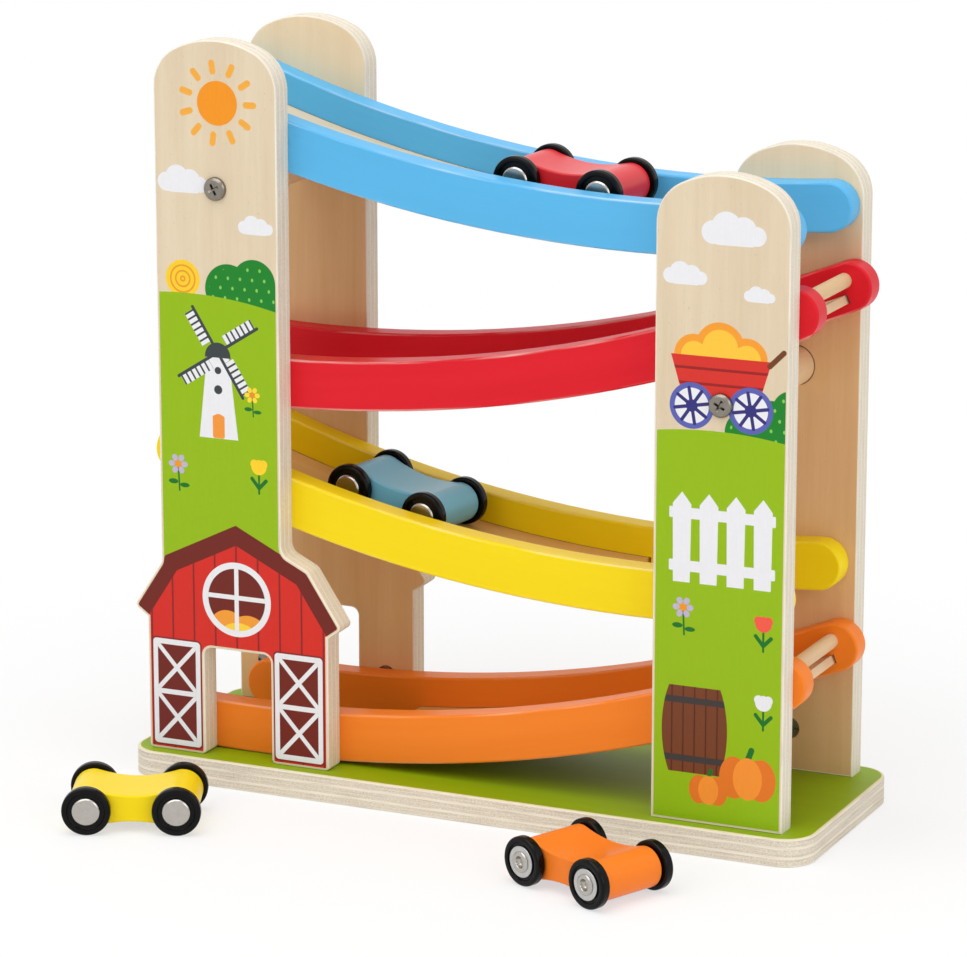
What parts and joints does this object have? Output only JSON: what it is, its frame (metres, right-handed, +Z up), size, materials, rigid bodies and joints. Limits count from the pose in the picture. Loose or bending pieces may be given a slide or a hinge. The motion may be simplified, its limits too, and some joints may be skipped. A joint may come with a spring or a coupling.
{
  "type": "click clack track toy",
  "caption": "Wooden click clack track: curved coloured ramps zigzag down between plywood posts on a flat base with a barn cut-out, with small two-axle cars that roll down them.",
  "frame": {"origin": "centre of the base board's underside, on the surface that the toy stands on", "axes": "+X to the right along the base as seen from the printed side, +Y from the printed front towards the back, +Z up"},
  "size_m": [0.34, 0.21, 0.35],
  "materials": {
    "base_green": "green print on plywood",
    "birch": "lacquered birch plywood",
    "rod_wood": "plain wooden rod",
    "rail_blue": "satin paint",
    "rail_red": "satin paint",
    "rail_yellow": "satin paint",
    "rail_orange": "satin paint",
    "floor_birch": "plain plywood",
    "car_yellow": "satin paint",
    "car_orange": "satin paint",
    "car_red": "satin paint",
    "car_grey": "satin paint",
    "wheel_black": "satin black",
    "rivet_steel": "polished",
    "zinc": "zinc plated"
  },
  "bodies": {
    "stand": {"base": "base_green", "post_left_front": "birch", "post_left_back": "birch", "post_right_front": "birch", "post_right_back": "birch", "rail_blue_front": "rail_blue", "rail_blue_back": "rail_blue", "rail_red_front": "rail_red", "rail_red_back": "rail_red", "rail_yellow_front": "rail_yellow", "rail_yellow_back": "rail_yellow", "rail_orange_front": "rail_orange", "rail_orange_back": "rail_orange", "floor_blue": "floor_birch", "floor_red": "floor_birch", "floor_yellow": "floor_birch", "floor_orange": "floor_birch", "stop_blue": "rod_wood", "stop_red": "rod_wood", "stop_yellow": "rod_wood", "stop_orange": "rod_wood", "spacer_left": "rod_wood", "spacer_right": "rod_wood", "post_screws": "zinc", "barrel_nuts": "zinc", "base_bolts": "zinc"},
    "yellow_car": {"yellow_car_body": "car_yellow", "yellow_car_rivets": "rivet_steel", "yellow_car_washers": "rivet_steel"},
    "yellow_wheel_1": {"yellow_car_wheel_1": "wheel_black"},
    "yellow_wheel_2": {"yellow_car_wheel_2": "wheel_black"},
    "yellow_wheel_3": {"yellow_car_wheel_3": "wheel_black"},
    "yellow_wheel_4": {"yellow_car_wheel_4": "wheel_black"},
    "orange_car": {"orange_car_body": "car_orange", "orange_car_rivets": "rivet_steel", "orange_car_washers": "rivet_steel"},
    "orange_wheel_1": {"orange_car_wheel_1": "wheel_black"},
    "orange_wheel_2": {"orange_car_wheel_2": "wheel_black"},
    "orange_wheel_3": {"orange_car_wheel_3": "wheel_black"},
    "orange_wheel_4": {"orange_car_wheel_4": "wheel_black"},
    "red_car": {"red_car_body": "car_red", "red_car_rivets": "rivet_steel", "red_car_washers": "rivet_steel"},
    "red_wheel_1": {"red_car_wheel_1": "wheel_black"},
    "red_wheel_2": {"red_car_wheel_2": "wheel_black"},
    "red_wheel_3": {"red_car_wheel_3": "wheel_black"},
    "red_wheel_4": {"red_car_wheel_4": "wheel_black"},
    "grey_car": {"grey_car_body": "car_grey", "grey_car_rivets": "rivet_steel", "grey_car_washers": "rivet_steel"},
    "grey_wheel_1": {"grey_car_wheel_1": "wheel_black"},
    "grey_wheel_2": {"grey_car_wheel_2": "wheel_black"},
    "grey_wheel_3": {"grey_car_wheel_3": "wheel_black"},
    "grey_wheel_4": {"grey_car_wheel_4": "wheel_black"}
  },
  "joints": [
    {"name": "yellow_car_run", "type": "slide", "parent": "stand", "child": "yellow_car", "axis": [0.9198, 0.3923, 0], "range_m": [-0.1, 0.06]},
    {"name": "yellow_wheel_1_spin", "type": "hinge", "parent": "yellow_car", "child": "yellow_wheel_1", "pos_m": [-0.10554, -0.12875, 0.0112], "axis": [-0.3923, 0.9198, 0], "continuous": true},
    {"name": "yellow_wheel_2_spin", "type": "hinge", "parent": "yellow_car", "child": "yellow_wheel_2", "pos_m": [-0.12044, -0.0938, 0.0112], "axis": [-0.3923, 0.9198, 0], "continuous": true},
    {"name": "yellow_wheel_3_spin", "type": "hinge", "parent": "yellow_car", "child": "yellow_wheel_3", "pos_m": [-0.14316, -0.1448, 0.0112], "axis": [-0.3923, 0.9198, 0], "continuous": true},
    {"name": "yellow_wheel_4_spin", "type": "hinge", "parent": "yellow_car", "child": "yellow_wheel_4", "pos_m": [-0.15807, -0.10985, 0.0112], "axis": [-0.3923, 0.9198, 0], "continuous": true},
    {"name": "orange_car_run", "type": "slide", "parent": "stand", "child": "orange_car", "axis": [0.9178, -0.3971, 0], "range_m": [-0.05, 0.1]},
    {"name": "orange_wheel_1_spin", "type": "hinge", "parent": "orange_car", "child": "orange_wheel_1", "pos_m": [0.08048, -0.09184, 0.0112], "axis": [-0.3971, -0.9178, 0], "continuous": true},
    {"name": "orange_wheel_2_spin", "type": "hinge", "parent": "orange_car", "child": "orange_wheel_2", "pos_m": [0.06539, -0.12672, 0.0112], "axis": [-0.3971, -0.9178, 0], "continuous": true},
    {"name": "orange_wheel_3_spin", "type": "hinge", "parent": "orange_car", "child": "orange_wheel_3", "pos_m": [0.11801, -0.10808, 0.0112], "axis": [-0.3971, -0.9178, 0], "continuous": true},
    {"name": "orange_wheel_4_spin", "type": "hinge", "parent": "orange_car", "child": "orange_wheel_4", "pos_m": [0.10292, -0.14296, 0.0112], "axis": [-0.3971, -0.9178, 0], "continuous": true},
    {"name": "red_car_run", "type": "hinge", "parent": "stand", "child": "red_car", "pos_m": [0.087, 0, 0.9503], "axis": [0, -1, 0], "range_deg": [-12.83, 0.63]},
    {"name": "red_wheel_1_spin", "type": "hinge", "parent": "red_car", "child": "red_wheel_1", "pos_m": [0.05337, -0.0196, 0.28729], "axis": [0.0296, 0.9996, -0.0024], "continuous": true},
    {"name": "red_wheel_2_spin", "type": "hinge", "parent": "red_car", "child": "red_wheel_2", "pos_m": [0.05449, 0.01838, 0.2872], "axis": [0.0296, 0.9996, -0.0024], "continuous": true},
    {"name": "red_wheel_3_spin", "type": "hinge", "parent": "red_car", "child": "red_wheel_3", "pos_m": [0.01262, -0.01838, 0.29058], "axis": [0.0296, 0.9996, -0.0024], "continuous": true},
    {"name": "red_wheel_4_spin", "type": "hinge", "parent": "red_car", "child": "red_wheel_4", "pos_m": [0.01375, 0.0196, 0.29049], "axis": [0.0296, 0.9996, -0.0024], "continuous": true},
    {"name": "grey_car_run", "type": "hinge", "parent": "stand", "child": "grey_car", "pos_m": [0.085, 0, 0.7849], "axis": [0, -1, 0], "range_deg": [-5.52, 7.72]},
    {"name": "grey_wheel_1_spin", "type": "hinge", "parent": "grey_car", "child": "grey_wheel_1", "pos_m": [-0.03273, -0.0209, 0.1316], "axis": [0.0955, 0.9952, -0.02], "continuous": true},
    {"name": "grey_wheel_2_spin", "type": "hinge", "parent": "grey_car", "child": "grey_wheel_2", "pos_m": [-0.0291, 0.01691, 0.13084], "axis": [0.0955, 0.9952, -0.02], "continuous": true},
    {"name": "grey_wheel_3_spin", "type": "hinge", "parent": "grey_car", "child": "grey_wheel_3", "pos_m": [-0.07257, -0.01691, 0.13993], "axis": [0.0955, 0.9952, -0.02], "continuous": true},
    {"name": "grey_wheel_4_spin", "type": "hinge", "parent": "grey_car", "child": "grey_wheel_4", "pos_m": [-0.06894, 0.0209, 0.13917], "axis": [0.0955, 0.9952, -0.02], "continuous": true}
  ]
}
